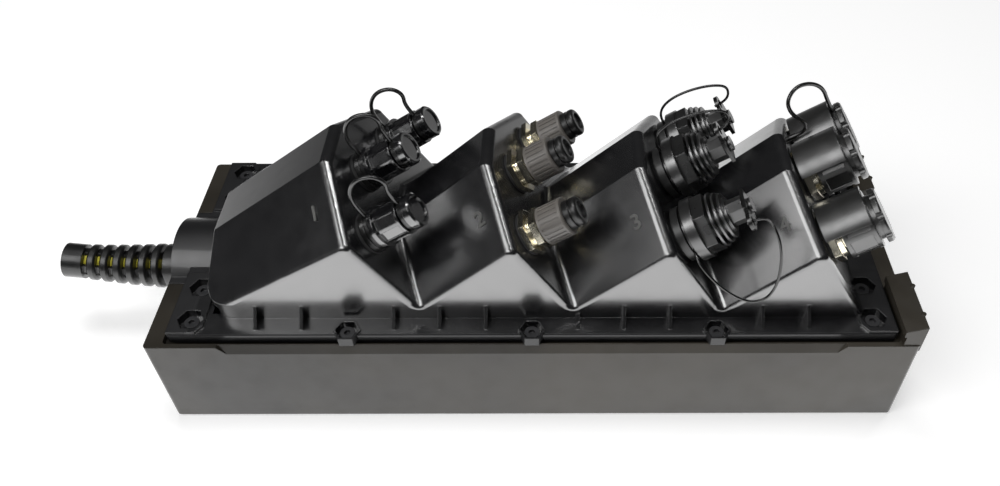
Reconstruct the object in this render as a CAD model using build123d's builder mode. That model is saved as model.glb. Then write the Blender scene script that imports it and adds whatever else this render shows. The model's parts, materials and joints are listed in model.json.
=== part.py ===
"""Multiport service terminal: a sealed fibre splice box with a stepped cover.

The tray holds a splice tray. The cover has four sloping teeth, and each tooth has a face with
three capped adapters. A cable gland with a slotted boot enters at the left end. All lengths are
in millimetres. The origin is the centre of the tray's underside, +X runs along the box away
from the gland, +Y runs to the back and +Z is up.
"""
import os
from math import cos, hypot, radians, sin, tan

from build123d import *

os.makedirs("parts", exist_ok=True)

# Tray
tray_length = 370.0
tray_width = 135.0
tray_height = 56.4
tray_wall = 2.6
tray_floor = 3.0
end_rim = 8.6
side_ledge = 14.0
end_ledge = 28.0
ledge_thickness = 5.0
tray_corner_radius = 2.0
tray_bottom_radius = 1.5
rim_bevel_depth = 2.0
rim_bevel_height = 4.8
rim_bevel_length = 292.0
rim_bevel_ramp = 5.0
lug_length = 36.0
lug_overhang = 1.2
lug_low = 6.0
lug_rise = 9.6
lug_high = 12.8
lug_rib_radius = 1.2
lug_rib_spacing = 18.0

# Cover flange and its gasket
cover_gap = 1.6
flange_thickness = 5.0
flange_height = 4.0
flange_corner = 3.0
gasket_width = 3.2
gasket_half_x = 161.4
gasket_half_y = 57.6
gasket_thickness = 2.2
wall = 3.0
cavity_end = 157.0

# Teeth of the cover, from the gland end. Heights are measured along the outer side walls.
side_half = 52.5
middle_half = 13.7
middle_rise = 19.5
valley_x = [-54.0, 19.5, 91.0, 159.5]
first_valley_height = 66.0
valley_fall = 1.1
first_ridge_height = 108.7
ridge_fall = 1.9
face_slope = 1.55
first_slope = 0.603
first_middle_slope = 0.72
ridge_radius = 4.2
valley_radius = 3.0
side_edge_radius = 3.0
nose_x = -158.0
nose_radius = 16.0
tail_x = 163.0
tail_radius = 5.0

# Stiffening ribs, bosses and bolts along the flange
rib_pitch = 22.0
rib_count = 13
rib_width = 1.6
rib_rise = 9.0
rib_reach = 7.5
boss_pitch = 88.0
boss_radius = 6.7
boss_rise = 1.4
boss_inset = 2.5
bolt_recess_flats = 9.6
bolt_recess_depth = 4.6
bolt_head_radius = 3.6
bolt_head_height = 2.4
bolt_socket_flats = 3.0
bolt_shank_radius = 2.0
bolt_length = 14.0
post_radius = 5.0
pad_rise = 1.4
pad_length = 17.5
pad_width = 40.0
pad_corner = 5.0
pad_bolt_spacing = 20.6
pad_bolt_inset = 10.6
pad_recess_flats = 11.0

# Cable entry
entry_z = 42.0
hood_radius = 26.0
hood_wall = 3.2
hood_plate = 7.0
gland_radius = 9.0
gland_barrel_radius = 8.0
gland_bore = 5.7
gland_nut_radius = 12.6
gland_nut_length = 3.0
gland_nut_notches = 6
seal_thickness = 1.5
running_clearance = 0.05
boot_base_length = 6.0
boot_big_radius = 11.9
boot_small_radius = 9.2
boot_sleeve_radius = 7.4
boot_tip_length = 10.0
boot_ring_pitch = 6.9
boot_ring_count = 6
boot_ring_width = 4.2
boot_web_width = 4.0
boot_lift = 5.2
boot_length = 61.0
boot_ring_round = 0.9
boot_web_angle = 12.0
gland_flange_radius = 12.0
gland_flange_length = 3.0
cable_radius = 5.6
cable_inside = 40.0

# Splice tray inside
splice_length = 270.0
splice_width = 88.0
splice_floor = 2.0
splice_wall_height = 11.0
splice_corner = 8.0
splice_hub_x = 78.0
splice_hub_radius = 26.0
comb_width = 1.2
splice_standoff = 9.0
splice_screw_x = 120.0
splice_screw_y = 36.0
splice_screw_radius = 1.5
splice_screw_length = 7.0
standoff_radius = 4.0
sleeve_radius = 1.6
sleeve_length = 45.0
sleeve_pitch = 5.0
sleeve_count = 12

# Ports: distance of each axis up its face from the valley, and sideways from the middle
outer_port_up = 39.0
middle_port_up = 50.0
port_side = 33.0
stem_radius = 8.0
hole_clearance = 0.2
port_seal_height = 1.2
port_seal_radius = 10.4
port_nut_flats = 21.0
port_nut_height = 4.0
stem_inside = 12.0
socket_radius = 5.4
socket_floor = -6.0
ferrule_radius = 2.4
ferrule_bore = 1.0
cap_edge = 0.8
cap_gap = 0.5

# Row 1: fluted caps with rubber lanyards
row1_flange_radius = 9.8
row1_flange_end = 3.8
row1_barrel_radius = 7.0
row1_barrel_end = 17.5
row1_ring_radius = 9.6
row1_ring_end = 6.2
row1_cap_start = 6.5
row1_skirt_radius = 10.4
row1_skirt_height = 2.4
row1_body_radius = 8.9
row1_body_end = 21.5
row1_flute_count = 8
row1_flute_width = 5.0
row1_flute_depth = 0.7
row1_groove_radius = 5.6
row1_groove_end = 24.2
row1_disc_radius = 8.3
row1_disc_end = 28.6
row1_lanyard_radius = 1.0

# Row 2: knurled metal caps with rubber plugs
row2_hex_flats = 20.0
row2_hex_end = 3.9
row2_lock_start = 6.0
row2_lock_flats = 17.6
row2_lock_end = 9.4
row2_barrel_radius = 7.0
row2_barrel_end = 18.5
row2_cap_radius = 9.3
row2_cap_end = 22.5
row2_cap_rounding = 0.6
row2_plug_radius = 7.0
row2_plug_end = 29.5
row2_plug_stem = 3.0
row2_plug_rounding = 1.6
row2_knurl_count = 24

# Row 3: finned sealing caps with wire lanyards
row3_flange_radius = 13.2
row3_flange_end = 4.8
row3_barrel_radius = 9.0
row3_barrel_end = 14.5
row3_ring_start = 5.1
row3_ring_end = 6.5
row3_ring_radius = 12.2
row3_cap_start = 6.8
row3_collar_radius = 15.2
row3_collar_end = 11.8
row3_hex_flats = 25.0
row3_hex_radius = 14.0
row3_hex_end = 17.4
row3_neck_radius = 8.2
row3_fin_start = 18.8
row3_fin_radii = [13.2, 12.2, 11.0]
row3_fin_pitch = 2.4
row3_fin_width = 1.1
row3_neck_end = 26.0
row3_rear_neck_radius = 5.6
row3_stub_flats = 11.6
row3_stub_end = 33.0
row3_tab_size = 12.4
row3_tab_thickness = 1.8
row3_tab_reach = 10.0
row3_tab_radius = 4.2
row3_tab_hole = 2.4
row3_pin_radius = 2.5
row3_wire_radius = 0.65

# Row 4: bayonet caps with a shroud over metal adapters
row4_hex_flats = 24.8
row4_hex_end = 4.6
row4_ring_radius = 12.0
row4_ring_end = 7.0
row4_barrel_radius = 9.4
row4_barrel_end = 19.0
row4_cap_start = 8.0
row4_body_radius = 14.0
row4_body_end = 22.6
row4_flat_count = 8
row4_flat_width = 8.0
row4_flat_depth = 0.9
row4_groove_radius = 10.8
row4_groove_end = 25.0
row4_disc_radius = 13.2
row4_disc_end = 28.0
row4_notch_radius = 1.8
row4_notch_count = 8
row4_shroud_radius = 16.2
row4_shroud_start = 1.0
row4_shroud_end = 22.4
row4_shroud_half_angle = 52.0
row4_shroud_thickness = 1.6
row4_bridge_start = 15.0
row4_bridge = 5.0
row4_strap_radius = 1.0
row4_anchor_side = 10.0
row4_anchor_up = 17.0
row4_anchor_radius = 1.5
row4_anchor_height = 4.0

# Share of the shorter run that a lanyard's bend takes at each side of a corner
bend_share = 0.45

half_length = tray_length / 2
half_width = tray_width / 2
pocket_x = tray_length - 2 * end_rim
pocket_y = tray_width - 2 * tray_wall
flange_top = tray_height + flange_height
flange_bottom = flange_top - flange_thickness
ledge_top = flange_bottom - gasket_thickness
flange_half_x = half_length - end_rim - cover_gap
flange_half_y = half_width - tray_wall - cover_gap
fit_gap = 0.3
row_count = len(valley_x)
hood_end = nose_x + nose_radius / 2
valley_z = [first_valley_height - valley_fall * i for i in range(row_count)]
ridge_z = [first_ridge_height - ridge_fall * i for i in range(row_count)]
ridge_x = [valley_x[i] - (ridge_z[i] - valley_z[i]) / face_slope for i in range(row_count)]
side_bolts = [(i * boss_pitch, s * (flange_half_y - boss_inset)) for i in (-1, 0, 1) for s in (-1, 1)]
pad_bolts = [
    (sx * (flange_half_x - pad_bolt_inset), sy * (flange_half_y - pad_bolt_inset + 1.5 - step))
    for sx in (-1, 1)
    for sy in (-1, 1)
    for step in (0, pad_bolt_spacing)
]
side_head_z = flange_top + boss_rise - bolt_recess_depth
pad_head_z = flange_top + pad_rise - bolt_recess_depth
splice_screws = [(sx * splice_screw_x, sy * splice_screw_y) for sx in (-1, 1) for sy in (-1, 1)]


def save(part, name):
    part.label = name
    export_step(part, f"parts/{name}.step")


def meet(first, second):
    """Crossing point of two lines, each given as a point and a direction."""
    (ax, az), (ux, uz) = first
    (bx, bz), (vx, vz) = second
    step = ((bx - ax) * vz - (bz - az) * vx) / (ux * vz - uz * vx)
    return (ax + step * ux, az + step * uz)


def moved_in(line, inset):
    """The same roof line moved into the cover by inset."""
    (x, z), (u, w) = line
    length = hypot(u, w)
    return ((x + inset * w / length, z - inset * u / length), (u, w))


def roof_corners(rise, inset, left, bottom):
    """Corners of the toothed section, from the nose to the foot of the last face."""
    shift = rise / face_slope
    slope = first_slope + (first_middle_slope - first_slope) * rise / middle_rise
    lines = [((ridge_x[0] - shift, ridge_z[0] + rise), (1, slope))]
    for row in range(row_count):
        valley = (valley_x[row] - shift, valley_z[row] + rise)
        lines.append((valley, (1, -face_slope)))
        if row + 1 < row_count:
            climb = (ridge_x[row + 1] - valley_x[row], ridge_z[row + 1] - valley_z[row])
            lines.append((valley, climb))
    lines = [moved_in(line, inset) for line in lines]
    lines = [((left, bottom), (0, 1))] + lines + [((left, bottom), (1, 0))]
    return [meet(lines[i], lines[i + 1]) for i in range(len(lines) - 1)]


def near(vertex, corners):
    return any(hypot(vertex.X - x, vertex.Y - z) < 0.01 for x, z in corners)


def crown(inset, left, bottom, ridge_fillet, valley_fillet):
    """The toothed roof as a solid: a level middle strip and two outer strips sloping down."""
    outer = side_half - inset
    low_rise = middle_rise * inset / (side_half - middle_half)
    stations = [(-outer, low_rise), (-middle_half, middle_rise), (middle_half, middle_rise), (outer, low_rise)]
    with BuildPart() as body:
        for y, rise in stations:
            corners = roof_corners(rise, inset, left, bottom)
            with BuildSketch(Plane.XZ.offset(-y)) as section:
                with BuildLine():
                    Polyline((left, bottom), *corners, close=True)
                make_face()
                fillet([v for v in section.vertices() if near(v, corners[1:8:2])], ridge_fillet)
                fillet([v for v in section.vertices() if near(v, corners[2:8:2])], valley_fillet)
        loft(ruled=True)
    return body.part


def port_plane(row, side):
    """Plane on a port face: origin on the port axis, z out of the face, x towards +Y."""
    up = middle_port_up if side == 0 else outer_port_up
    length = hypot(1, face_slope)
    x = valley_x[row] - up / length
    z = valley_z[row] + up * face_slope / length
    return Plane(origin=(x, side * port_side, z), x_dir=(0, 1, 0), z_dir=(face_slope, 0, 1))


ports = [(row, side) for row in range(row_count) for side in (-1, 0, 1)]


# Tray with its ledge, bolt posts, bevelled rim, entry notch and end lugs
with BuildPart() as rim_bevel:
    with BuildSketch(Plane.XZ):
        with BuildLine():
            Polyline(
                (-rim_bevel_length / 2, tray_height - rim_bevel_height),
                (rim_bevel_length / 2, tray_height - rim_bevel_height),
                (rim_bevel_length / 2 + rim_bevel_ramp, tray_height + 1),
                (-rim_bevel_length / 2 - rim_bevel_ramp, tray_height + 1),
                close=True,
            )
        make_face()
    extrude(amount=tray_width)
    with BuildSketch(Plane.YZ.offset(-half_length)):
        with BuildLine():
            Polyline(
                (-half_width, tray_height - rim_bevel_height),
                (-half_width + rim_bevel_depth, tray_height),
                (-half_width + rim_bevel_depth, tray_height + 1),
                (-half_width - 1, tray_height + 1),
                (-half_width - 1, tray_height - rim_bevel_height),
                close=True,
            )
        make_face()
    extrude(amount=tray_length, mode=Mode.INTERSECT)

with BuildPart() as tray:
    with BuildSketch():
        RectangleRounded(tray_length, tray_width, tray_corner_radius)
    extrude(amount=tray_height)
    fillet(tray.edges().group_by(Axis.Z)[0], tray_bottom_radius)
    with BuildSketch(Plane.XY.offset(ledge_top)):
        RectangleRounded(pocket_x, pocket_y, tray_corner_radius)
    extrude(amount=tray_height, mode=Mode.SUBTRACT)
    with BuildSketch(Plane.XY.offset(tray_floor)):
        RectangleRounded(pocket_x, pocket_y, tray_corner_radius)
    extrude(amount=ledge_top - ledge_thickness - tray_floor, mode=Mode.SUBTRACT)
    with BuildSketch(Plane.XY.offset(tray_floor)):
        RectangleRounded(tray_length - 2 * end_ledge, tray_width - 2 * side_ledge, tray_corner_radius)
    extrude(amount=tray_height, mode=Mode.SUBTRACT)
    with BuildSketch(Plane.XY.offset(tray_floor - 0.5)):
        with Locations(*side_bolts, *pad_bolts):
            Circle(post_radius)
    extrude(amount=ledge_top - tray_floor + 0.5)
    with BuildSketch(Plane.XY.offset(tray_floor - 0.5)):
        with Locations(*splice_screws):
            Circle(standoff_radius)
    extrude(amount=splice_standoff + 0.5)
    with BuildSketch(Plane.XY.offset(tray_floor + splice_standoff)):
        with Locations(*splice_screws):
            Circle(splice_screw_radius + 0.15)
    extrude(amount=-splice_screw_length, mode=Mode.SUBTRACT)
    with BuildSketch(Plane.XY.offset(ledge_top)):
        with Locations(*side_bolts, *pad_bolts):
            Circle(bolt_shank_radius + 0.15)
    extrude(amount=-bolt_length, mode=Mode.SUBTRACT)
    with BuildSketch(Plane.XY.offset(entry_z - fit_gap)):
        with Locations((-half_length + end_ledge / 2 - 0.5, 0)):
            Rectangle(end_ledge + 1, 2 * (hood_radius + fit_gap + 0.1))
    extrude(amount=tray_height, mode=Mode.SUBTRACT)
    with BuildSketch(Plane.YZ.offset(-half_length - 1)):
        with Locations((0, entry_z)):
            Circle(gland_radius + fit_gap)
    extrude(amount=end_rim + 2, mode=Mode.SUBTRACT)
    add(rim_bevel.part, mode=Mode.SUBTRACT)
    add(rim_bevel.part.mirror(Plane.XZ), mode=Mode.SUBTRACT)
    for side in (-1, 1):
        near_y = side * (half_width - 0.5)
        far_y = side * (half_width - 0.5 - lug_length)
        with BuildSketch(Plane.XZ.offset(-min(near_y, far_y))):
            with BuildLine():
                Polyline(
                    (half_length - end_rim, tray_height - 4),
                    (half_length, tray_height - 4),
                    (half_length, tray_height + lug_high),
                    (half_length - end_rim - lug_overhang, tray_height + lug_rise),
                    (half_length - end_rim - lug_overhang, tray_height + lug_low),
                    (half_length - end_rim, tray_height + lug_low),
                    close=True,
                )
            make_face()
        extrude(amount=-lug_length)
        with BuildSketch(Plane.XY.offset(tray_height - 4)):
            with Locations(*[(half_length, (near_y + far_y) / 2 + k * lug_rib_spacing / 2) for k in (-1, 1)]):
                Circle(lug_rib_radius)
        extrude(amount=lug_high + 4)
save(tray.part, "tray")

# Cover: toothed roof, flange, cable hood, ribs, bosses and corner pads
with BuildPart() as ribs:
    for index in range(rib_count):
        x = (index - (rib_count - 1) / 2) * rib_pitch
        if abs(x) % boss_pitch < 1:
            continue
        for side in (-1, 1):
            with BuildSketch(Plane.YZ.offset(x - rib_width / 2)):
                with BuildLine():
                    Polyline(
                        (side * (side_half - 1), flange_top - 1),
                        (side * (side_half - 1), flange_top + rib_rise),
                        (side * side_half, flange_top + rib_rise),
                        (side * (side_half + rib_reach), flange_top),
                        (side * (side_half + rib_reach), flange_top - 1),
                        close=True,
                    )
                make_face()
            extrude(amount=rib_width)
    with BuildSketch(Plane.XZ.offset(-half_width)):
        with BuildLine():
            Polyline((nose_x, flange_bottom), *roof_corners(0, side_edge_radius, nose_x, flange_bottom), close=True)
        make_face()
    extrude(amount=tray_width, mode=Mode.INTERSECT)

outer_roof = crown(0.0, nose_x, flange_bottom + 1, ridge_radius, valley_radius)
inner_roof = crown(wall, nose_x + wall, flange_bottom - 1, ridge_radius - wall, valley_radius + wall)

with BuildPart() as cavity:
    add(inner_roof)
    with BuildSketch(Plane.XY.offset(flange_bottom - 1)):
        with Locations(((cavity_end + nose_x) / 2, 0)):
            Rectangle(cavity_end - nose_x, tray_width)
    extrude(amount=tray_width, mode=Mode.INTERSECT)

with BuildPart() as cover:
    add(outer_roof)
    side_edges = [
        e
        for e in cover.edges()
        if abs(abs(e.center().Y) - side_half) < 0.001
        and e.center().Z > flange_top + 1
        and abs(e.tangent_at(0.5).Z) < 0.999
    ]
    fillet(side_edges, side_edge_radius)
    with BuildSketch(Plane.XY.offset(flange_bottom)) as plan:
        with Locations(((nose_x + tail_x) / 2, 0)):
            Rectangle(tail_x - nose_x, 2 * side_half)
        fillet(plan.vertices().group_by(Axis.X)[0], nose_radius)
        fillet(plan.vertices().group_by(Axis.X)[-1], tail_radius)
    extrude(amount=tray_width, mode=Mode.INTERSECT)
    with BuildSketch(Plane.XY.offset(flange_bottom)):
        RectangleRounded(2 * flange_half_x, 2 * flange_half_y, flange_corner)
    extrude(amount=flange_thickness)
    with BuildSketch(Plane.YZ.offset(-half_length)):
        with Locations((0, entry_z)):
            Circle(hood_radius)
        with Locations((0, (entry_z + tray_height) / 2)):
            Rectangle(2 * hood_radius, tray_height - entry_z)
        with Locations((0, entry_z - hood_radius)):
            Rectangle(2 * hood_radius + 2, 2 * hood_radius, mode=Mode.SUBTRACT)
    extrude(amount=half_length + hood_end)
    add(ribs.part)
    with BuildSketch(Plane.XY.offset(tray_height + fit_gap)):
        with Locations(*side_bolts):
            RegularPolygon(boss_radius, 6)
    extrude(amount=flange_height + boss_rise - fit_gap)
    for sx in (-1, 1):
        for sy in (-1, 1):
            outer_x = sx * flange_half_x
            outer_y = sy * flange_half_y
            inner_x = outer_x - sx * pad_length
            inner_y = outer_y - sy * pad_width
            with BuildSketch(Plane.XY.offset(flange_bottom + 1)):
                with BuildLine():
                    Polyline(
                        (outer_x - sx * 0.8, outer_y - sy * 0.8),
                        (inner_x + sx * pad_corner * 0.6, outer_y - sy * 0.8),
                        (inner_x, outer_y - sy * pad_corner),
                        (inner_x, inner_y),
                        (outer_x - sx * 0.8, inner_y),
                        close=True,
                    )
                make_face()
            extrude(amount=flange_thickness + pad_rise - 1)
    add(cavity.part, mode=Mode.SUBTRACT)
    with BuildSketch(Plane.YZ.offset(-half_length + hood_plate)):
        with Locations((0, entry_z)):
            Circle(hood_radius - hood_wall)
        with Locations((0, entry_z - hood_radius)):
            Rectangle(2 * hood_radius, 2 * hood_radius, mode=Mode.SUBTRACT)
        with Locations((0, entry_z)):
            Rectangle(2 * (hood_radius - hood_wall), 2)
    extrude(amount=half_length - hood_plate + hood_end + 1, mode=Mode.SUBTRACT)
    with BuildSketch(Plane.YZ.offset(-half_length - 1)):
        with Locations((0, entry_z)):
            Circle(gland_radius + fit_gap)
    extrude(amount=hood_plate + 2, mode=Mode.SUBTRACT)
    with BuildSketch(*[port_plane(row, side) for row, side in ports]):
        Circle(stem_radius + hole_clearance)
    extrude(amount=2 * wall, both=True, mode=Mode.SUBTRACT)
    with BuildSketch(Plane.XY.offset(side_head_z)):
        with Locations(*side_bolts):
            RegularPolygon(bolt_recess_flats / 2, 6, major_radius=False)
    extrude(amount=10, mode=Mode.SUBTRACT)
    with BuildSketch(Plane.XY.offset(pad_head_z)):
        with Locations(*pad_bolts):
            RegularPolygon(pad_recess_flats / 2, 6, major_radius=False)
    extrude(amount=10, mode=Mode.SUBTRACT)
    with BuildSketch(Plane.XY.offset(flange_bottom - 1)):
        with Locations(*side_bolts, *pad_bolts):
            Circle(bolt_shank_radius + 0.15)
    extrude(amount=flange_thickness, mode=Mode.SUBTRACT)
save(cover.part, "cover")

# Gasket under the flange, open where the cable hood passes
with BuildPart() as gasket:
    with BuildSketch(Plane.XY.offset(ledge_top)):
        RectangleRounded(2 * gasket_half_x, 2 * gasket_half_y, flange_corner)
        RectangleRounded(
            2 * (gasket_half_x - gasket_width),
            2 * (gasket_half_y - gasket_width),
            flange_corner,
            mode=Mode.SUBTRACT,
        )
        with Locations((-gasket_half_x, 0)):
            Rectangle(4 * gasket_width, 2 * (hood_radius + 1.5), mode=Mode.SUBTRACT)
    extrude(amount=gasket_thickness)
save(gasket.part, "cover_gasket")

# Cover bolts, one node for the whole set
with BuildPart() as bolts:
    for spots, head_z in ((side_bolts, side_head_z), (pad_bolts, pad_head_z)):
        with BuildSketch(Plane.XY.offset(head_z)):
            with Locations(*spots):
                Circle(bolt_head_radius)
        extrude(amount=bolt_head_height)
        with BuildSketch(Plane.XY.offset(head_z)):
            with Locations(*spots):
                Circle(bolt_shank_radius)
        extrude(amount=-bolt_length)
        with BuildSketch(Plane.XY.offset(head_z + bolt_head_height)):
            with Locations(*spots):
                RegularPolygon(bolt_socket_flats / 2, 6, major_radius=False)
        extrude(amount=-bolt_head_height * 0.7, mode=Mode.SUBTRACT)
save(bolts.part, "cover_bolts")

# Splice tray on four posts, its screws and the splice sleeves
splice_base = tray_floor + splice_standoff
with BuildPart() as splice_tray:
    with BuildSketch(Plane.XY.offset(splice_base)):
        RectangleRounded(splice_length, splice_width, splice_corner)
    extrude(amount=splice_wall_height)
    with BuildSketch(Plane.XY.offset(splice_base + splice_floor)):
        RectangleRounded(
            splice_length - 2 * splice_floor,
            splice_width - 2 * splice_floor,
            splice_corner - splice_floor,
        )
    extrude(amount=splice_wall_height, mode=Mode.SUBTRACT)
    with BuildSketch(Plane.XY.offset(splice_base + splice_floor - 0.5)):
        with Locations((-splice_hub_x, 0), (splice_hub_x, 0)):
            Circle(splice_hub_radius)
            Circle(splice_hub_radius - splice_floor, mode=Mode.SUBTRACT)
    extrude(amount=splice_wall_height - splice_floor)
    with BuildSketch(Plane.XY.offset(splice_base + splice_floor - 0.5)):
        with GridLocations(0, sleeve_pitch, 1, sleeve_count + 1):
            Rectangle(sleeve_length * 0.7, comb_width)
    extrude(amount=2 * sleeve_radius + 1.5)
    with BuildSketch(Plane.XY.offset(splice_base - 1)):
        with Locations(*splice_screws):
            Circle(splice_screw_radius + 0.15)
    extrude(amount=splice_floor + 2, mode=Mode.SUBTRACT)
save(splice_tray.part, "splice_tray")

with BuildPart() as splice_screw_set:
    with BuildSketch(Plane.XY.offset(splice_base + splice_floor)):
        with Locations(*splice_screws):
            Circle(2 * splice_screw_radius)
    extrude(amount=splice_screw_radius)
    with BuildSketch(Plane.XY.offset(splice_base + splice_floor)):
        with Locations(*splice_screws):
            Circle(splice_screw_radius)
    extrude(amount=-splice_screw_length)
save(splice_screw_set.part, "splice_screws")

with BuildPart() as sleeves:
    with BuildSketch(Plane.YZ.offset(-sleeve_length / 2)):
        with Locations((0, splice_base + splice_floor + sleeve_radius)):
            with GridLocations(sleeve_pitch, 0, sleeve_count, 1):
                Circle(sleeve_radius)
    extrude(amount=sleeve_length)
save(sleeves.part, "splice_sleeves")


# Cable gland: body, seal, turning nut, slotted boot and the cable
gland_plane = Plane(origin=(0, 0, entry_z), x_dir=(0, 1, 0), z_dir=(-1, 0, 0))
nut_start = half_length + seal_thickness
nut_end = nut_start + gland_nut_length
boot_start = nut_end + fit_gap
inside_wall = half_length - end_rim - fit_gap
with BuildPart() as gland_body:
    for start, end, radius in (
        (inside_wall - gland_flange_length, inside_wall, gland_flange_radius),
        (inside_wall, boot_start, gland_radius),
        (boot_start, boot_start + boot_base_length - 1, gland_barrel_radius),
    ):
        with BuildSketch(gland_plane.offset(start)):
            Circle(radius)
        extrude(amount=end - start)
    with BuildSketch(gland_plane.offset(inside_wall - gland_flange_length)):
        Circle(gland_bore)
    extrude(amount=end_rim + 40, mode=Mode.SUBTRACT)
save(gland_body.part, "gland_body")

with BuildPart() as gland_seal:
    with BuildSketch(gland_plane.offset(half_length)):
        Circle(gland_nut_radius - 0.6)
        Circle(gland_radius, mode=Mode.SUBTRACT)
    extrude(amount=seal_thickness)
save(gland_seal.part, "gland_seal")

with BuildPart() as gland_nut:
    with BuildSketch(gland_plane.offset(nut_start)):
        Circle(gland_nut_radius)
        Circle(gland_radius + running_clearance, mode=Mode.SUBTRACT)
        with PolarLocations(gland_nut_radius, gland_nut_notches):
            Rectangle(1.4, 3.0, mode=Mode.SUBTRACT)
    extrude(amount=gland_nut_length)
save(gland_nut.part, "gland_nut")

boot_bend = boot_length**2 / (2 * boot_lift)


def boot_plane(distance):
    """Plane across the boot at a distance along its rising centre line."""
    turn = distance / boot_bend
    return Plane(
        origin=(-boot_start - boot_bend * sin(turn), 0, entry_z + boot_bend * (1 - cos(turn))),
        x_dir=(0, 1, 0),
        z_dir=(-cos(turn), 0, sin(turn)),
    )



boot_middle = boot_plane(boot_length / 2).origin
boot_end = boot_plane(boot_length).origin
with BuildLine() as boot_path:
    ThreePointArc((-boot_start, 0, entry_z), boot_middle, boot_end)

with BuildPart() as boot_bore:
    with BuildSketch(boot_plane(0)):
        Circle(cable_radius)
    sweep(path=boot_path.line)

first_ring = boot_base_length + boot_ring_pitch - boot_ring_width
tip_start = first_ring + boot_ring_count * boot_ring_pitch
with BuildPart() as boot:
    for index in range(boot_ring_count):
        start = first_ring + index * boot_ring_pitch
        taper = (boot_big_radius - boot_small_radius) * index / boot_ring_count
        with BuildSketch(boot_plane(start)):
            Circle(boot_big_radius - taper)
        extrude(amount=boot_ring_width)
    chamfer(boot.edges().filter_by(GeomType.CIRCLE), boot_ring_round)
    with BuildSketch(boot_plane(0)):
        Circle(boot_big_radius)
        Circle(gland_barrel_radius, mode=Mode.SUBTRACT)
    extrude(amount=boot_base_length)
    with BuildSketch(boot_plane(boot_base_length - 1)):
        Circle(boot_big_radius - 0.3)
    extrude(amount=1)
    with BuildSketch(boot_plane(tip_start)):
        Circle(boot_small_radius)
    extrude(amount=boot_tip_length)
    for index in range(boot_ring_count + 1):
        start = boot_base_length + index * boot_ring_pitch - 0.5
        with BuildSketch(boot_plane(start)) as webs:
            with PolarLocations(boot_sleeve_radius - 1.2, 4, start_angle=boot_web_angle):
                Rectangle(2.4, boot_web_width)
        extrude(amount=boot_ring_pitch - boot_ring_width + 1)
    add(boot_bore.part, mode=Mode.SUBTRACT)
save(boot.part, "strain_relief_boot")

with BuildPart() as cable:
    with BuildLine() as cable_path:
        Line((-half_length + cable_inside, 0, entry_z), (-boot_start, 0, entry_z))
        add(boot_path.line)
    with BuildSketch(Plane(origin=(-half_length + cable_inside, 0, entry_z), z_dir=(-1, 0, 0))):
        Circle(cable_radius)
    sweep()
save(cable.part, "cable_stub")


# Ports: seals and nuts, in one node a row, then adapters and caps, each port its own
def at_ports(piece, spots):
    """Copies of a piece drawn on the XY plane, moved to the given ports."""
    with BuildPart() as placed:
        for row, side in spots:
            add(piece.moved(port_plane(row, side).location))
    return placed.part


def round_hole(body_radius, outline_flats, start, end):
    """A hexagon with a round hole, between two heights."""
    with BuildPart() as piece:
        with BuildSketch(Plane.XY.offset(start)):
            RegularPolygon(outline_flats / 2, 6, major_radius=False)
            Circle(body_radius, mode=Mode.SUBTRACT)
        extrude(amount=end - start)
    return piece.part


def ring(inner, outer, start, end):
    with BuildPart() as piece:
        with BuildSketch(Plane.XY.offset(start)):
            Circle(outer)
            Circle(inner, mode=Mode.SUBTRACT)
        extrude(amount=end - start)
    return piece.part


def stepped(steps):
    """A turned body made of (start, end, radius) steps."""
    with BuildPart() as piece:
        for start, end, radius in steps:
            with BuildSketch(Plane.XY.offset(start)):
                Circle(radius)
            extrude(amount=end - start)
    return piece.part


port_seal = ring(stem_radius, port_seal_radius, 0, port_seal_height)
port_nut = round_hole(stem_radius, port_nut_flats, -wall - port_nut_height, -wall)
for row in range(row_count):
    spots = [(row, side) for side in (-1, 0, 1)]
    save(at_ports(port_seal, spots), f"port_seals_row{row + 1}")
    save(at_ports(port_nut, spots), f"port_nuts_row{row + 1}")

stem = stepped([(-wall - port_nut_height - stem_inside, port_seal_height, stem_radius)])
barrel_ends = [row1_barrel_end, row2_barrel_end, row3_barrel_end, row4_barrel_end]


def bored(part, barrel_end):
    """Socket with its ferrule sleeve, and the lead-in at the back, cut into an adapter."""
    with BuildPart() as piece:
        add(part)
        with BuildSketch(Plane.XY.offset(socket_floor)):
            Circle(socket_radius)
            Circle(ferrule_radius, mode=Mode.SUBTRACT)
        extrude(amount=barrel_end, mode=Mode.SUBTRACT)
        with BuildSketch(Plane.XY.offset(barrel_end - 3)):
            Circle(socket_radius)
        extrude(amount=10, mode=Mode.SUBTRACT)
        with BuildSketch(Plane.XY.offset(socket_floor - 6)):
            Circle(ferrule_bore)
        extrude(amount=2 * barrel_end, mode=Mode.SUBTRACT)
        with BuildSketch(Plane.XY.offset(-wall - port_nut_height - stem_inside)):
            Circle(socket_radius)
        extrude(amount=stem_inside - 3, mode=Mode.SUBTRACT)
    return piece.part


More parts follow.
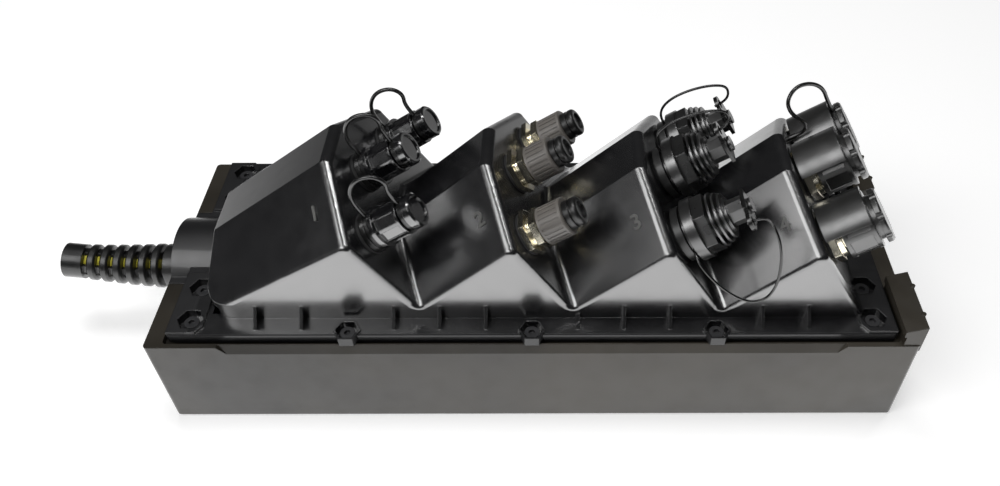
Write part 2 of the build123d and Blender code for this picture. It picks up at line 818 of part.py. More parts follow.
with BuildPart() as adapter1:
    add(stem)
    add(stepped([
        (port_seal_height, row1_flange_end, row1_flange_radius),
        (row1_flange_end, row1_barrel_end, row1_barrel_radius),
    ]))
with BuildPart() as adapter2:
    add(stem)
    add(round_hole(1, row2_hex_flats, port_seal_height, row2_hex_end))
    add(round_hole(1, row2_lock_flats, row2_lock_start, row2_lock_end))
    add(stepped([(0, row2_barrel_end, row2_barrel_radius)]))
with BuildPart() as adapter3:
    add(stem)
    add(stepped([
        (port_seal_height, row3_flange_end, row3_flange_radius),
        (row3_flange_end, row3_barrel_end, row3_barrel_radius),
    ]))
with BuildPart() as adapter4:
    add(stem)
    add(round_hole(1, row4_hex_flats, port_seal_height, row4_hex_end))
    add(stepped([
        (0, row4_ring_end, row4_ring_radius - 0.01),
        (row4_ring_end, row4_barrel_end, row4_barrel_radius),
    ]))
    with BuildSketch(Plane.XY):
        Circle(2 * row4_ring_radius)
        Circle(stem_radius, mode=Mode.SUBTRACT)
    extrude(amount=port_seal_height, mode=Mode.SUBTRACT)

adapters = [adapter1.part, adapter2.part, adapter3.part, adapter4.part]

# Row 1 cap: skirt, fluted body, lanyard groove and end disc
with BuildPart() as cap1:
    add(stepped([
        (row1_cap_start, row1_cap_start + row1_skirt_height, row1_skirt_radius),
        (row1_cap_start + row1_skirt_height, row1_body_end, row1_body_radius),
        (row1_body_end, row1_groove_end, row1_groove_radius),
        (row1_groove_end, row1_disc_end, row1_disc_radius),
    ]))
    chamfer(cap1.edges().group_by(Axis.Z)[-1], cap_edge)
    with BuildSketch(Plane.XY.offset(row1_cap_start + row1_skirt_height)):
        with PolarLocations(row1_body_radius, row1_flute_count):
            Rectangle(2 * row1_flute_depth, row1_flute_width)
    extrude(amount=row1_body_end - row1_cap_start - row1_skirt_height - 1.5, mode=Mode.SUBTRACT)
    with BuildSketch(Plane.XY.offset(row1_disc_end)):
        Circle(row1_disc_radius - 2)
    extrude(amount=-0.8, mode=Mode.SUBTRACT)
    with BuildSketch(Plane.XY.offset(row1_cap_start)):
        Circle(row1_barrel_radius + running_clearance)
    extrude(amount=row1_barrel_end + cap_gap - row1_cap_start, mode=Mode.SUBTRACT)

# Row 2 cap: knurled sleeve, with a rubber plug in its end
with BuildPart() as cap2:
    add(stepped([(row2_lock_end + cap_gap, row2_cap_end, row2_cap_radius)]))
    chamfer(cap2.edges().group_by(Axis.Z)[-1], row2_cap_rounding)
    with BuildSketch(Plane.XY.offset(row2_lock_end + cap_gap + 1.4)):
        with PolarLocations(row2_cap_radius, row2_knurl_count):
            Rectangle(0.7, 1.0)
    extrude(amount=row2_cap_end - row2_lock_end - cap_gap - 2.8, mode=Mode.SUBTRACT)
    with BuildSketch(Plane.XY.offset(row2_lock_end)):
        Circle(row2_barrel_radius + running_clearance)
    extrude(amount=row2_barrel_end + cap_gap - row2_lock_end, mode=Mode.SUBTRACT)
    with BuildSketch(Plane.XY.offset(row2_barrel_end)):
        Circle(row2_plug_stem)
    extrude(amount=10, mode=Mode.SUBTRACT)
with BuildPart() as plug2:
    add(stepped([
        (row2_barrel_end + cap_gap, row2_cap_end, row2_plug_stem),
        (row2_cap_end, row2_cap_end + 3, row2_plug_radius),
        (row2_cap_end + 3, row2_cap_end + 4.2, row2_plug_radius - 1),
        (row2_cap_end + 4.2, row2_plug_end, row2_plug_radius),
    ]))
    fillet(plug2.edges().group_by(Axis.Z)[-1], row2_plug_rounding)
    with BuildSketch(Plane.XY.offset(row2_plug_end)):
        Circle(row2_plug_radius - row2_plug_rounding - 1)
    extrude(amount=-1.2, mode=Mode.SUBTRACT)

# Row 3 cap: wide collar, hexagon, finned neck and faceted stub
with BuildPart() as cap3:
    add(stepped([
        (row3_cap_start, row3_collar_end, row3_collar_radius),
        (row3_collar_end, row3_neck_end, row3_neck_radius),
        (row3_neck_end, row3_stub_end, row3_rear_neck_radius),
    ]))
    with BuildSketch(Plane.XY.offset(row3_collar_end)):
        RegularPolygon(row3_hex_flats / 2, 6, major_radius=False)
    extrude(amount=row3_hex_end - row3_collar_end)
    for index, radius in enumerate(row3_fin_radii):
        with BuildSketch(Plane.XY.offset(row3_fin_start + index * row3_fin_pitch)):
            Circle(radius)
        extrude(amount=row3_fin_width)
    with BuildSketch(Plane.XY.offset(row3_neck_end)):
        RegularPolygon(row3_stub_flats / 2, 8, major_radius=False)
    extrude(amount=row3_stub_end - row3_neck_end)
    with BuildSketch(Plane.XY.offset(row3_stub_end - 0.5)):
        Circle(row3_pin_radius)
    extrude(amount=row3_tab_thickness + 1.1)
    with BuildSketch(Plane.XY.offset(row3_stub_end + row3_tab_thickness + 0.6)):
        Circle(row3_pin_radius + 1.2)
    extrude(amount=1.2)
    with BuildSketch(Plane.XY.offset(row3_cap_start)):
        Circle(row3_barrel_radius + running_clearance)
    extrude(amount=row3_barrel_end + cap_gap - row3_cap_start, mode=Mode.SUBTRACT)
with BuildPart() as tab3:
    with BuildSketch(Plane.XY.offset(row3_stub_end + 0.3)):
        Rectangle(row3_tab_size, row3_tab_size)
        with Locations((row3_tab_reach, 0)):
            Circle(row3_tab_radius)
        with Locations((row3_tab_reach / 2, 0)):
            Rectangle(row3_tab_reach, 2 * row3_tab_radius)
        Circle(row3_pin_radius + 0.3, mode=Mode.SUBTRACT)
        with Locations((row3_tab_reach, 0)):
            Circle(row3_tab_hole, mode=Mode.SUBTRACT)
    extrude(amount=row3_tab_thickness)

# Row 4 cap: broad flats, lanyard groove, notched end disc and a curved shroud on one side
with BuildPart() as cap4:
    add(stepped([
        (row4_cap_start, row4_body_end, row4_body_radius),
        (row4_body_end, row4_groove_end, row4_groove_radius),
        (row4_groove_end, row4_disc_end, row4_disc_radius),
    ]))
    chamfer(cap4.edges().group_by(Axis.Z)[-1], cap_edge)
    with BuildSketch(Plane.XY.offset(row4_cap_start + 2)):
        with PolarLocations(row4_body_radius, row4_flat_count):
            Rectangle(2 * row4_flat_depth, row4_flat_width)
    extrude(amount=row4_body_end - row4_cap_start - 4, mode=Mode.SUBTRACT)
    with BuildSketch(Plane.XY.offset(row4_groove_end)):
        with PolarLocations(row4_disc_radius, row4_notch_count):
            Circle(row4_notch_radius)
    extrude(amount=10, mode=Mode.SUBTRACT)
    with BuildSketch(Plane.XY.offset(row4_shroud_start)):
        with BuildLine():
            reach = 2 * row4_shroud_radius
            spread = radians(row4_shroud_half_angle)
            Polyline(
                (0, 0),
                (reach * sin(spread), reach * cos(spread)),
                (0, 1.5 * reach),
                (-reach * sin(spread), reach * cos(spread)),
                close=True,
            )
        make_face()
        Circle(row4_shroud_radius, mode=Mode.INTERSECT)
        Circle(row4_shroud_radius - row4_shroud_thickness, mode=Mode.SUBTRACT)
    extrude(amount=row4_shroud_end - row4_shroud_start)
    with BuildSketch(Plane.XY.offset(row4_bridge_start)):
        with BuildLine():
            Polyline(
                (0, 0),
                (reach * sin(spread), reach * cos(spread)),
                (0, 1.5 * reach),
                (-reach * sin(spread), reach * cos(spread)),
                close=True,
            )
        make_face()
        Circle(row4_shroud_radius - row4_shroud_thickness / 2, mode=Mode.INTERSECT)
    extrude(amount=row4_bridge)
    with BuildSketch(Plane.XY.offset(row4_cap_start)):
        Circle(row4_barrel_radius + running_clearance)
    extrude(amount=row4_barrel_end + cap_gap - row4_cap_start, mode=Mode.SUBTRACT)

caps = [cap1.part, cap2.part, cap3.part, cap4.part]
side_names = {-1: "a", 0: "b", 1: "c"}
for row, side in ports:
    where = port_plane(row, side).location
    name = f"row{row + 1}{side_names[side]}"
    save(bored(adapters[row], barrel_ends[row]).moved(where), f"adapter_{name}")
    save(caps[row].moved(where), f"cap_{name}")
    if row == 1:
        save(plug2.part.moved(where), f"plug_{name}")


def lanyard(points, radius):
    """A plain cord along straight runs joined by tangent arcs, drawn on the port's own axes."""
    corners = [Vector(*point) for point in points]
    bends = []
    with BuildPart() as cord:
        with BuildLine() as route:
            start = corners[0]
            for before, corner, after in zip(corners, corners[1:], corners[2:]):
                run_in = corner - before
                run_out = after - corner
                reach = bend_share * min(run_in.length, run_out.length)
                bends.append(reach / tan(radians(run_in.get_angle(run_out)) / 2))
                arc_start = corner - run_in.normalized() * reach
                arc_end = corner + run_out.normalized() * reach
                Line(start, arc_start)
                TangentArc(arc_start, arc_end, tangent=run_in)
                start = arc_end
            Line(start, corners[-1])
        with BuildSketch(Plane(origin=corners[0], z_dir=corners[1] - corners[0])):
            Circle(radius)
        sweep()
    print(f"bends {min(bends):.1f} to {max(bends):.1f} mm, path {sum(edge.length for edge in route.edges()):.1f} mm")
    return cord.part


# Lanyards, with the loose rings and tabs that hold their ends
groove_middle1 = (row1_body_end + row1_groove_end) / 2
base_middle1 = (row1_flange_end + row1_cap_start) / 2
base_ring1 = ring(row1_barrel_radius + fit_gap, row1_ring_radius, row1_flange_end + 0.2, row1_cap_start - 0.2)
groove_ring1 = ring(
    row1_groove_radius + fit_gap,
    row1_groove_radius + fit_gap + 1.8,
    row1_body_end + fit_gap,
    row1_groove_end - fit_gap,
)
lanyard1 = lanyard(
    [
        (0, row1_ring_radius, base_middle1),
        (0, 17.5, base_middle1),
        (0, 25, 9),
        (0, 28.5, 16),
        (0, 26.5, 23.5),
        (0, 20.5, 26.5),
        (0, 14.5, groove_middle1),
        (0, row1_groove_radius + fit_gap + 1.8, groove_middle1),
    ],
    row1_lanyard_radius,
)
row1_spots = [(0, side) for side in (-1, 0, 1)]
save(at_ports(base_ring1 + groove_ring1, row1_spots), "lanyard_rings_row1")

base_ring3 = ring(row3_barrel_radius + fit_gap, row3_ring_radius, row3_ring_start, row3_ring_end)
base_middle3 = (row3_ring_start + row3_ring_end) / 2
tab_height = row3_stub_end + fit_gap + row3_tab_thickness / 2
save(at_ports(base_ring3, [(2, side) for side in (-1, 0, 1)]), "lanyard_rings_row3")
hanging = lanyard(
    [
        (-row3_ring_radius, 0, base_middle3),
        (-17.5, 0, base_middle3),
        (-22.5, -6.5, 7),
        (-26, -17, 10),
        (-28.5, -28, 16),
        (-29, -31, 24),
        (-27.5, -27, 31.5),
        (-25, -20, 37),
        (-22, -12, 41.5),
        (-18, -4.5, tab_height + 9),
        (-12.5, -0.5, tab_height + 8),
        (-row3_tab_reach, 0, tab_height + 3.5),
        (-row3_tab_reach, 0, tab_height - 2),
    ],
    row3_wire_radius,
)
standing = lanyard(
    [
        (0, row3_ring_radius, base_middle3),
        (0, 18, base_middle3),
        (0, 23.5, 9),
        (0, 26, 15.5),
        (0, 26, 23),
        (0, 24.5, 30.5),
        (0, 22, 37),
        (0, 18, tab_height + 8),
        (0, 12.8, tab_height + 7),
        (0, row3_tab_reach, tab_height + 3),
        (0, row3_tab_reach, tab_height - 2),
    ],
    row3_wire_radius,
)
with BuildPart() as tabs3:
    for side in (-1, 0, 1):
        turn = 180 if side < 0 else 90
        add((Rot(0, 0, turn) * tab3.part).moved(port_plane(2, side).location))
save(tabs3.part, "lanyard_tabs_row3")

groove_middle4 = (row4_body_end + row4_groove_end) / 2
groove_ring4 = ring(
    row4_groove_radius + fit_gap,
    row4_groove_radius + fit_gap + 1.8,
    row4_body_end + fit_gap,
    row4_groove_end - fit_gap,
)
with BuildPart() as anchor4:
    with BuildSketch(Plane.XY):
        with Locations((-row4_anchor_side, row4_anchor_up)):
            Circle(row4_anchor_radius)
    extrude(amount=row4_anchor_height)
save(at_ports(groove_ring4 + anchor4.part, [(3, 1)]), "lanyard_rings_row4")
strap = lanyard(
    [
        (-row4_anchor_side, row4_anchor_up, row4_anchor_height),
        (-row4_anchor_side, row4_anchor_up, 8),
        (-row4_anchor_side - 1, 23, 11),
        (-row4_anchor_side - 1, 32, 9.5),
        (-row4_anchor_side + 1, 39.5, 12),
        (-row4_anchor_side + 5, 42, 19),
        (-1.5, 37, 24.5),
        (0, 29, 26),
        (0, 20.5, groove_middle4),
        (0, row4_groove_radius + fit_gap + 1.8, groove_middle4),
    ],
    row4_strap_radius,
)

for side in (-1, 0, 1):
    letter = side_names[side]
    save(lanyard1.moved(port_plane(0, side).location), f"lanyard_row1{letter}")
    wire = hanging if side < 0 else standing
    save(wire.moved(port_plane(2, side).location), f"lanyard_row3{letter}")
save(strap.moved(port_plane(3, 1).location), "lanyard_row4c")
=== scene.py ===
"""Looks of the multiport service terminal: camera, lanyards, marks, materials, floor and lamps."""
import bpy
from math import cos, hypot, radians, sin
from mathutils import Matrix, Vector
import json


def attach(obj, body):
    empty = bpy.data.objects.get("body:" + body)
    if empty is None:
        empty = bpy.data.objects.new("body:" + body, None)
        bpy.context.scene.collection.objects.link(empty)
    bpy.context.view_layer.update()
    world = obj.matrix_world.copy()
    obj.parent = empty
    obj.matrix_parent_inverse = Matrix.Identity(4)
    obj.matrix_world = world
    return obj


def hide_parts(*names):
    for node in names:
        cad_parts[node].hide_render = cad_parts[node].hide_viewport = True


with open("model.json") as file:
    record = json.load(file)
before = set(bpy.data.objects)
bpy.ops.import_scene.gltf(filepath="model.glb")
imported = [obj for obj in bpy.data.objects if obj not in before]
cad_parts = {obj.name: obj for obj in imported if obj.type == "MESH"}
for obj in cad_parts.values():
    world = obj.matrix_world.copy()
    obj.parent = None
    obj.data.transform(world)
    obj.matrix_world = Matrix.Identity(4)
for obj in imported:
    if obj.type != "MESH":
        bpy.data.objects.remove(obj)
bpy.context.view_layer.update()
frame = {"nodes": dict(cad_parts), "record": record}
nodes = frame["nodes"]
scene = bpy.context.scene
scene.view_settings.view_transform = "Standard"
mm = 0.001

# Camera at the photograph's place
sensor_width = 36.0
lens = 31.44
lens_shift = -0.05185
clip_near = 0.01
clip_far = 20.0
camera_place = (0.0096, -0.3242, 0.3850)
camera_pitch = radians(45.19)
camera_roll = radians(-0.14)

# Ports, as in the part: valleys of the roof and the distances of the port axes from them
face_slope = 1.55
face_length = hypot(1, face_slope)
valley_x = [-54.0, 19.5, 91.0, 159.5]
valley_z = [66.0, 64.9, 63.8, 62.7]
port_side = 33.0
outer_port_up = 39.0
middle_port_up = 50.0
side_names = {-1: "a", 0: "b", 1: "c"}

# Lanyards: routes on a port's own axes and radii in millimetres, lengths in metres
rubber_radius = 1.0
rubber_route = [
    (0, 9.6, 5.15), (0, 17.5, 5.15), (0, 25, 9), (0, 28.5, 16),
    (0, 26.5, 23.5), (0, 20.5, 26.5), (0, 14.5, 22.85), (0, 7.7, 22.85),
]
wire_radius = 0.65
hanging_length = 0.0973
hanging_route = [
    (-12.2, 0, 5.8), (-17.5, 0, 5.8), (-22.5, -6.5, 7), (-26, -17, 10), (-28.5, -28, 16), (-29, -31, 24),
    (-27.5, -27, 31.5), (-25, -20, 37), (-22, -12, 41.5), (-18, -4.5, 43.2), (-12.5, -0.5, 42.2),
    (-10, 0, 37.7), (-10, 0, 32.2),
]
standing_length = 0.0613
standing_route = [
    (0, 12.2, 5.8), (0, 18, 5.8), (0, 23.5, 9), (0, 26, 15.5), (0, 26, 23), (0, 24.5, 30.5),
    (0, 22, 37), (0, 18, 42.2), (0, 12.8, 41.2), (0, 10, 37.2), (0, 10, 32.2),
]
strap_radius = 1.0
strap_route = [
    (-10, 17, 4), (-10, 17, 8.5), (-11, 22.5, 11), (-11.5, 31.5, 7), (-9.5, 38.5, 7.5),
    (-5, 41, 14), (-1.5, 36.5, 21), (0, 29, 24.8), (0, 20.5, 23.8), (0, 12.9, 23.8),
]

# Teeth, as in the part, and the marks on their front facets, in millimetres
ridge_x = [-81.55, -7.53, 64.48, 133.5]
ridge_z = [108.7, 106.8, 104.9, 103.0]
first_slope = 0.603
side_half = 52.5
middle_half = 13.7
middle_rise = 19.5
mark_back = 13.0
mark_across = 22.0
mark_size = 10.5
mark_thickness = 0.4
mark_rounding = 0.15

# Finishes of the material slots. Sizes are in metres: height and edge are the grain's depth and the edge's
# rounding. Grain and patch are noise scales, and depth is how dark the darkest patches are.
finishes = {
    "cover_black": dict(
        colour=(0.005, 0.005, 0.006), rough=0.25, spread=0.02, grain=60.0, height=0.000006, edge=0.0007,
        coat=0.3, ior=2.2,
    ),
    "tray_black": dict(
        colour=(0.048, 0.042, 0.033), rough=0.36, spread=0.05, grain=1400.0, edge=0.0006, ior=1.36,
        patch=9.0, depth=0.25,
    ),
    "seal_rubber": dict(colour=(0.02, 0.02, 0.02), rough=0.6),
    "steel": dict(colour=(0.03, 0.03, 0.032), rough=0.34, spread=0.06, grain=1500.0),
    "gland_grey": dict(colour=(0.05, 0.05, 0.048), rough=0.36, spread=0.05, grain=1200.0, coat=0.3, ior=1.7),
    "boot_rubber": dict(
        colour=(0.008, 0.008, 0.008), rough=0.38, spread=0.05, grain=800.0, edge=0.0007, coat=0.1,
    ),
    "cable_yellow": dict(colour=(0.9, 0.8, 0.08), rough=0.35, spread=0.05),
    "splice_white": dict(colour=(0.7, 0.7, 0.67), rough=0.5, spread=0.05),
    "sleeve_clear": dict(colour=(0.55, 0.56, 0.58), rough=0.2, spread=0.05),
    "port_black": dict(
        colour=(0.008, 0.008, 0.008), rough=0.28, spread=0.05, edge=0.0005, coat=0.3, ior=1.7,
    ),
    "silver": dict(colour=(0.9, 0.85, 0.70), rough=0.2, spread=0.06, grain=1600.0, metal=1.0),
    "dark_metal": dict(colour=(0.02, 0.02, 0.02), rough=0.34, spread=0.05),
    "cap_gloss": dict(
        colour=(0.005, 0.005, 0.006), rough=0.17, spread=0.03, grain=700.0, height=0.00001, edge=0.0007,
        coat=0.6, ior=2.0,
    ),
    "cap_knurled": dict(
        colour=(0.15, 0.138, 0.125), rough=0.42, spread=0.06, grain=2200.0, height=0.00012, edge=0.0003,
        ior=1.6,
    ),
    "cap_finned": dict(
        colour=(0.012, 0.012, 0.012), rough=0.3, spread=0.05, grain=1200.0, height=0.00001, edge=0.0005,
        ior=2.0,
    ),
    "cap_shroud": dict(
        colour=(0.018, 0.018, 0.0175), rough=0.34, spread=0.05, grain=1200.0, edge=0.0005, ior=1.9,
    ),
    "cord_rubber": dict(
        colour=(0.008, 0.008, 0.008), rough=0.28, spread=0.05, height=0.00001, edge=0.0003, coat=0.3,
    ),
    "cord_wire": dict(
        colour=(0.008, 0.008, 0.008), rough=0.24, spread=0.05, height=0.00001, edge=0.0003, coat=0.3,
    ),
    "cord_strap": dict(
        colour=(0.008, 0.008, 0.008), rough=0.3, spread=0.05, height=0.00001, edge=0.0003, coat=0.3,
    ),
    "ring_black": dict(colour=(0.008, 0.008, 0.008), rough=0.3, spread=0.05, height=0.00001, coat=0.3),
}
# The raised numbers are lighter grey than the black cover: a painted highlight standing in for the light
# their raised edges catch.
mark_finish = dict(colour=(0.11, 0.11, 0.105), rough=0.45, spread=0.05, edge=0.0002)
cord_slots = {"row1": "cord_rubber", "row3": "cord_wire", "row4": "cord_strap"}
tone_contrast = (0.35, 0.65)
gloss_patch = 110.0
bevel_samples = 4
coat_rough = 0.1

# Duller parts of the cover: the cable hood and the flange's outer edge
hood_end = -0.165
hood_fade = 0.002
hood_dullness = 0.75
edge_start = 0.0622
edge_fade = 0.0005
dull_rough = 0.28
dull_level = (0.5, 0.08)

# Paper floor: its glow to the camera, and its shine in reflections in front of and behind the terminal
floor_half = 4
floor_drop = 0.0002
paper_tone = 0.8
paper_rough = 0.9
camera_glow = 0.45
shine_from = (-0.05, 2.0)
shine_to = (0.30, 0.05)
world_strength = 0.04

# Lamps: name, place, aim, size and power
lamps = [
    ("strip_lamp_left", (-0.10, 0.15, 1.5), (0, 0.05, 0.05), (0.10, 0.9), 5.0),
    ("strip_lamp_right", (0.22, 0.15, 1.5), (0, 0.05, 0.05), (0.10, 0.9), 5.0),
    ("soft_lamp", (-0.72, -0.65, 1.25), (0.02, 0, 0.05), (0.9, 0.7), 10.0),
    ("panel_lamp", (-0.92, -0.52, 0.86), (0.1, 0, 0.1), (0.5, 0.5), 1.6),
]


def at_port(row, side, point):
    """A point on a port's own axes, in millimetres, as a point of the frame in metres."""
    port_up = middle_port_up if side == 0 else outer_port_up
    origin = Vector((
        valley_x[row] - port_up / face_length,
        side * port_side,
        valley_z[row] + port_up * face_slope / face_length,
    ))
    out = Vector((face_slope, 0, 1)) / face_length
    across = Vector((0, 1, 0))
    rise = out.cross(across)
    x, y, z = point
    return (origin + across * x + rise * y + out * z) * mm


def add_camera():
    data = bpy.data.cameras.new("camera")
    data.sensor_width = sensor_width
    data.lens = lens
    data.shift_x = lens_shift
    data.clip_start = clip_near
    data.clip_end = clip_far
    camera = bpy.data.objects.new("camera", data)
    scene.collection.objects.link(camera)
    forward = Vector((0, cos(camera_pitch), -sin(camera_pitch)))
    right = Vector((1, 0, 0))
    up = right.cross(forward)
    tilted_right = right * cos(camera_roll) + up * sin(camera_roll)
    tilted_up = up * cos(camera_roll) - right * sin(camera_roll)
    camera.matrix_world = Matrix((
        (tilted_right.x, tilted_up.x, -forward.x, camera_place[0]),
        (tilted_right.y, tilted_up.y, -forward.y, camera_place[1]),
        (tilted_right.z, tilted_up.z, -forward.z, camera_place[2]),
        (0, 0, 0, 1),
    ))
    scene.camera = camera


def add_lanyard(name, node, points, radius):
    """A lanyard as one smooth spline that replaces its solid."""
    curve = bpy.data.curves.new(name, "CURVE")
    curve.dimensions = "3D"
    curve.bevel_depth = 1.0
    curve.bevel_resolution = 4
    curve.resolution_u = 16
    curve.use_fill_caps = True
    spline = curve.splines.new("NURBS")
    spline.points.add(len(points) - 1)
    for target, point in zip(spline.points, points):
        target.co = (*point, 1)
        target.radius = radius * mm
    spline.order_u = 3
    spline.use_endpoint_u = True
    piece = bpy.data.objects.new(name, curve)
    scene.collection.objects.link(piece)
    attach(piece, "terminal")
    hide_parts(node)
    return piece


def add_mark(tooth):
    """A plain number raised on the front facet of a tooth."""
    if tooth == 0:
        climb = Vector((1, 0, first_slope))
    else:
        climb = Vector((
            ridge_x[tooth] - valley_x[tooth - 1],
            0,
            ridge_z[tooth] - valley_z[tooth - 1],
        ))
    along = climb.normalized()
    across = Vector((-middle_rise / face_slope, side_half - middle_half, middle_rise)).normalized()
    out = along.cross(across).normalized()
    level = out.cross(along)
    ridge_end = Vector((ridge_x[tooth], -side_half, ridge_z[tooth]))
    place = (ridge_end - along * mark_back + across * mark_across) * mm
    text = bpy.data.curves.new(f"mark_{tooth + 1}", "FONT")
    text.body = str(tooth + 1)
    text.size = mark_size * mm
    text.extrude = mark_thickness * mm
    text.bevel_depth = mark_rounding * mm
    text.align_x = "CENTER"
    text.align_y = "CENTER"
    mark = bpy.data.objects.new(f"mark_{tooth + 1}", text)
    mark.matrix_world = Matrix((
        (along.x, level.x, out.x, place.x),
        (along.y, level.y, out.y, place.y),
        (along.z, level.z, out.z, place.z),
        (0, 0, 0, 1),
    ))
    scene.collection.objects.link(mark)
    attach(mark, "terminal")
    return mark


def new_material(name):
    material = bpy.data.materials.new(name)
    material.use_nodes = True
    tree = material.node_tree
    return material, tree, tree.nodes["Principled BSDF"]


def noise_node(tree, scale, detail):
    place = tree.nodes.new("ShaderNodeNewGeometry")
    noise = tree.nodes.new("ShaderNodeTexNoise")
    noise.inputs["Scale"].default_value = scale
    noise.inputs["Detail"].default_value = detail
    tree.links.new(place.outputs["Position"], noise.inputs["Vector"])
    return noise


def ramp_node(tree, source, low, high):
    """Colour or value that follows a noise between two ends."""
    ramp = tree.nodes.new("ShaderNodeValToRGB")
    ends = ramp.color_ramp.elements
    ends[0].position, ends[1].position = tone_contrast
    ends[0].color = (*low, 1)
    ends[1].color = (*high, 1)
    tree.links.new(source, ramp.inputs["Fac"])
    return ramp


def range_node(tree, source, start, end):
    """Value that goes from start to end, each a pair of input and output."""
    node = tree.nodes.new("ShaderNodeMapRange")
    node.inputs["From Min"].default_value, node.inputs["To Min"].default_value = start
    node.inputs["From Max"].default_value, node.inputs["To Max"].default_value = end
    tree.links.new(source, node.inputs["Value"])
    return node


def math_node(tree, operation, *sources):
    """Sum of sockets and plain numbers."""
    node = tree.nodes.new("ShaderNodeMath")
    node.operation = operation
    for socket, source in zip(node.inputs, sources):
        if isinstance(source, (int, float)):
            socket.default_value = source
        else:
            tree.links.new(source, socket)
    return node


def position_axes(tree):
    place = tree.nodes.new("ShaderNodeNewGeometry")
    axes = tree.nodes.new("ShaderNodeSeparateXYZ")
    tree.links.new(place.outputs["Position"], axes.inputs[0])
    return axes


def moulded(
    name, colour, rough, spread=0.04, grain=900.0, height=0.00002, edge=0.0004, coat=0.0, metal=0.0,
    ior=1.5, patch=45.0, depth=0.8,
):
    """Moulded or turned surface: slight colour and gloss variation, fine grain and softened edges."""
    material, tree, shader = new_material(name)
    clouds = noise_node(tree, patch, 3.0)
    dark = tuple(c * depth for c in colour)
    tint = ramp_node(tree, clouds.outputs["Fac"], dark, colour)
    tree.links.new(tint.outputs["Color"], shader.inputs["Base Color"])
    smear = noise_node(tree, gloss_patch, 5.0)
    gloss = ramp_node(tree, smear.outputs["Fac"], (rough - spread,) * 3, (rough + spread,) * 3)
    tree.links.new(gloss.outputs["Color"], shader.inputs["Roughness"])
    fine = noise_node(tree, grain, 2.0)
    bump = tree.nodes.new("ShaderNodeBump")
    bump.inputs["Strength"].default_value = 1.0
    bump.inputs["Distance"].default_value = height
    tree.links.new(fine.outputs["Fac"], bump.inputs["Height"])
    bevel = tree.nodes.new("ShaderNodeBevel")
    bevel.samples = bevel_samples
    bevel.inputs["Radius"].default_value = edge
    tree.links.new(bevel.outputs["Normal"], bump.inputs["Normal"])
    tree.links.new(bump.outputs["Normal"], shader.inputs["Normal"])
    shader.inputs["IOR"].default_value = ior
    shader.inputs["Coat Weight"].default_value = coat
    shader.inputs["Coat Roughness"].default_value = coat_rough
    shader.inputs["Metallic"].default_value = metal
    return material


def dull_where(material):
    """Duller finish on the cable hood and on the flange's outer edge."""
    tree = material.node_tree
    shader = tree.nodes["Principled BSDF"]
    axes = position_axes(tree)
    hood = range_node(tree, axes.outputs["X"], (hood_end, hood_dullness), (hood_end + hood_fade, 0.0))
    half = math_node(tree, "ABSOLUTE", axes.outputs["Y"])
    edge = range_node(tree, half.outputs[0], (edge_start, 0.0), (edge_start + edge_fade, 1.0))
    dull = math_node(tree, "MAXIMUM", hood.outputs["Result"], edge.outputs["Result"])
    gloss = shader.inputs["Roughness"].links[0].from_socket
    rough = math_node(tree, "MULTIPLY_ADD", dull.outputs[0], dull_rough, gloss)
    tree.links.new(rough.outputs[0], shader.inputs["Roughness"])
    level = range_node(tree, dull.outputs[0], (0.0, dull_level[0]), (1.0, dull_level[1]))
    tree.links.new(level.outputs["Result"], shader.inputs["Specular IOR Level"])


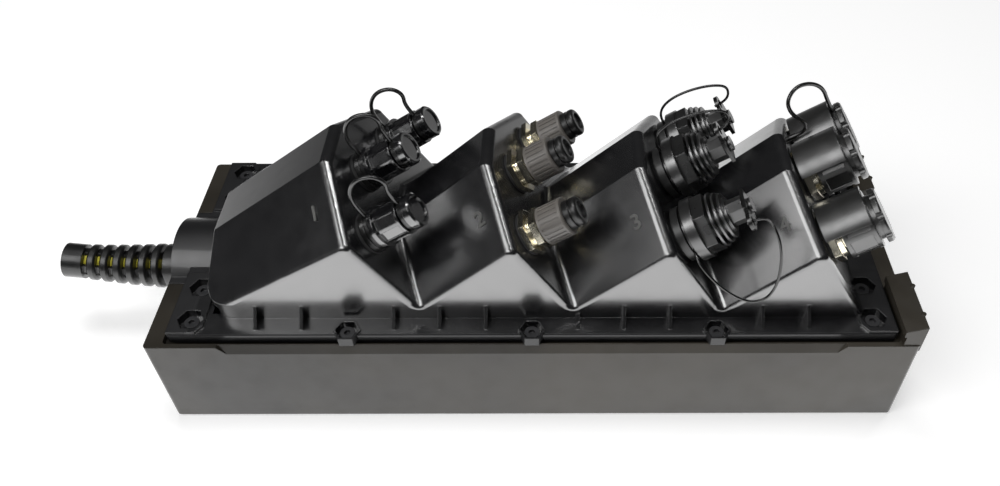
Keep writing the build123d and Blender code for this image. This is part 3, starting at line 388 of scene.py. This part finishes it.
def add_floor():
    mesh = bpy.data.meshes.new("floor")
    corners = [(-1, -1), (1, -1), (1, 1), (-1, 1)]
    mesh.from_pydata([(x * floor_half, y * floor_half, 0) for x, y in corners], [], [(0, 1, 2, 3)])
    floor = bpy.data.objects.new("floor", mesh)
    floor.location.z = -floor_drop
    scene.collection.objects.link(floor)
    paper, tree, shader = new_material("paper")
    shader.inputs["Base Color"].default_value = (paper_tone, paper_tone, paper_tone, 1)
    shader.inputs["Roughness"].default_value = paper_rough
    shader.inputs["Specular IOR Level"].default_value = 0.0
    ray = tree.nodes.new("ShaderNodeLightPath")
    seen = math_node(tree, "MULTIPLY", ray.outputs["Is Camera Ray"], camera_glow)
    axes = position_axes(tree)
    shine = range_node(tree, axes.outputs["Y"], shine_from, shine_to)
    glow = math_node(
        tree, "MULTIPLY_ADD", ray.outputs["Is Glossy Ray"], shine.outputs["Result"], seen.outputs[0]
    )
    shader.inputs["Emission Color"].default_value = (1, 1, 1, 1)
    tree.links.new(glow.outputs[0], shader.inputs["Emission Strength"])
    mesh.materials.append(paper)


def add_world():
    world = bpy.data.worlds.new("studio")
    scene.world = world
    world.use_nodes = True
    background = world.node_tree.nodes["Background"]
    background.inputs["Color"].default_value = (1, 1, 1, 1)
    background.inputs["Strength"].default_value = world_strength


def add_lamp(name, place, target, size, power):
    data = bpy.data.lights.new(name, "AREA")
    data.shape = "RECTANGLE"
    data.size, data.size_y = size
    data.energy = power
    holder = bpy.data.objects.new(name, data)
    holder.location = place
    holder.rotation_euler = (Vector(target) - Vector(place)).to_track_quat("-Z", "Y").to_euler()
    scene.collection.objects.link(holder)


add_camera()
lanyards = {}
for side, letter in side_names.items():
    lanyards[f"row1{letter}"] = add_lanyard(
        f"rubber_lanyard_1{letter}",
        f"lanyard_row1{letter}",
        [at_port(0, side, point) for point in rubber_route],
        rubber_radius,
    )
for side, letter in side_names.items():
    route, length = (hanging_route, hanging_length) if side < 0 else (standing_route, standing_length)
    lanyards[f"row3{letter}"] = add_lanyard(
        f"wire_lanyard_3{letter}",
        f"lanyard_row3{letter}",
        [at_port(2, side, point) for point in route],
        wire_radius,
    )
lanyards["row4c"] = add_lanyard(
    "strap_lanyard_4c",
    "lanyard_row4c",
    [at_port(3, 1, point) for point in strap_route],
    strap_radius,
)
marks = [add_mark(tooth) for tooth in range(len(ridge_x))]

looks = {name: moulded(name, **finish) for name, finish in finishes.items()}
for entry in frame["record"]["subparts"]:
    node = nodes[entry["node"]]
    node.data.materials.clear()
    node.data.materials.append(looks[entry["material_slot"]])
for key, piece in lanyards.items():
    slot = cord_slots[key[:4]]
    piece.data.materials.append(looks[slot])
dull_where(looks["cover_black"])
# Painted highlight: the numbers' lighter grey stands in for the light caught by their raised edges.
mark_look = moulded("mark_painted_highlight", **mark_finish)
for mark in marks:
    mark.data.materials.append(mark_look)

add_floor()
add_world()
for settings in lamps:
    add_lamp(*settings)

bpy.context.view_layer.update()
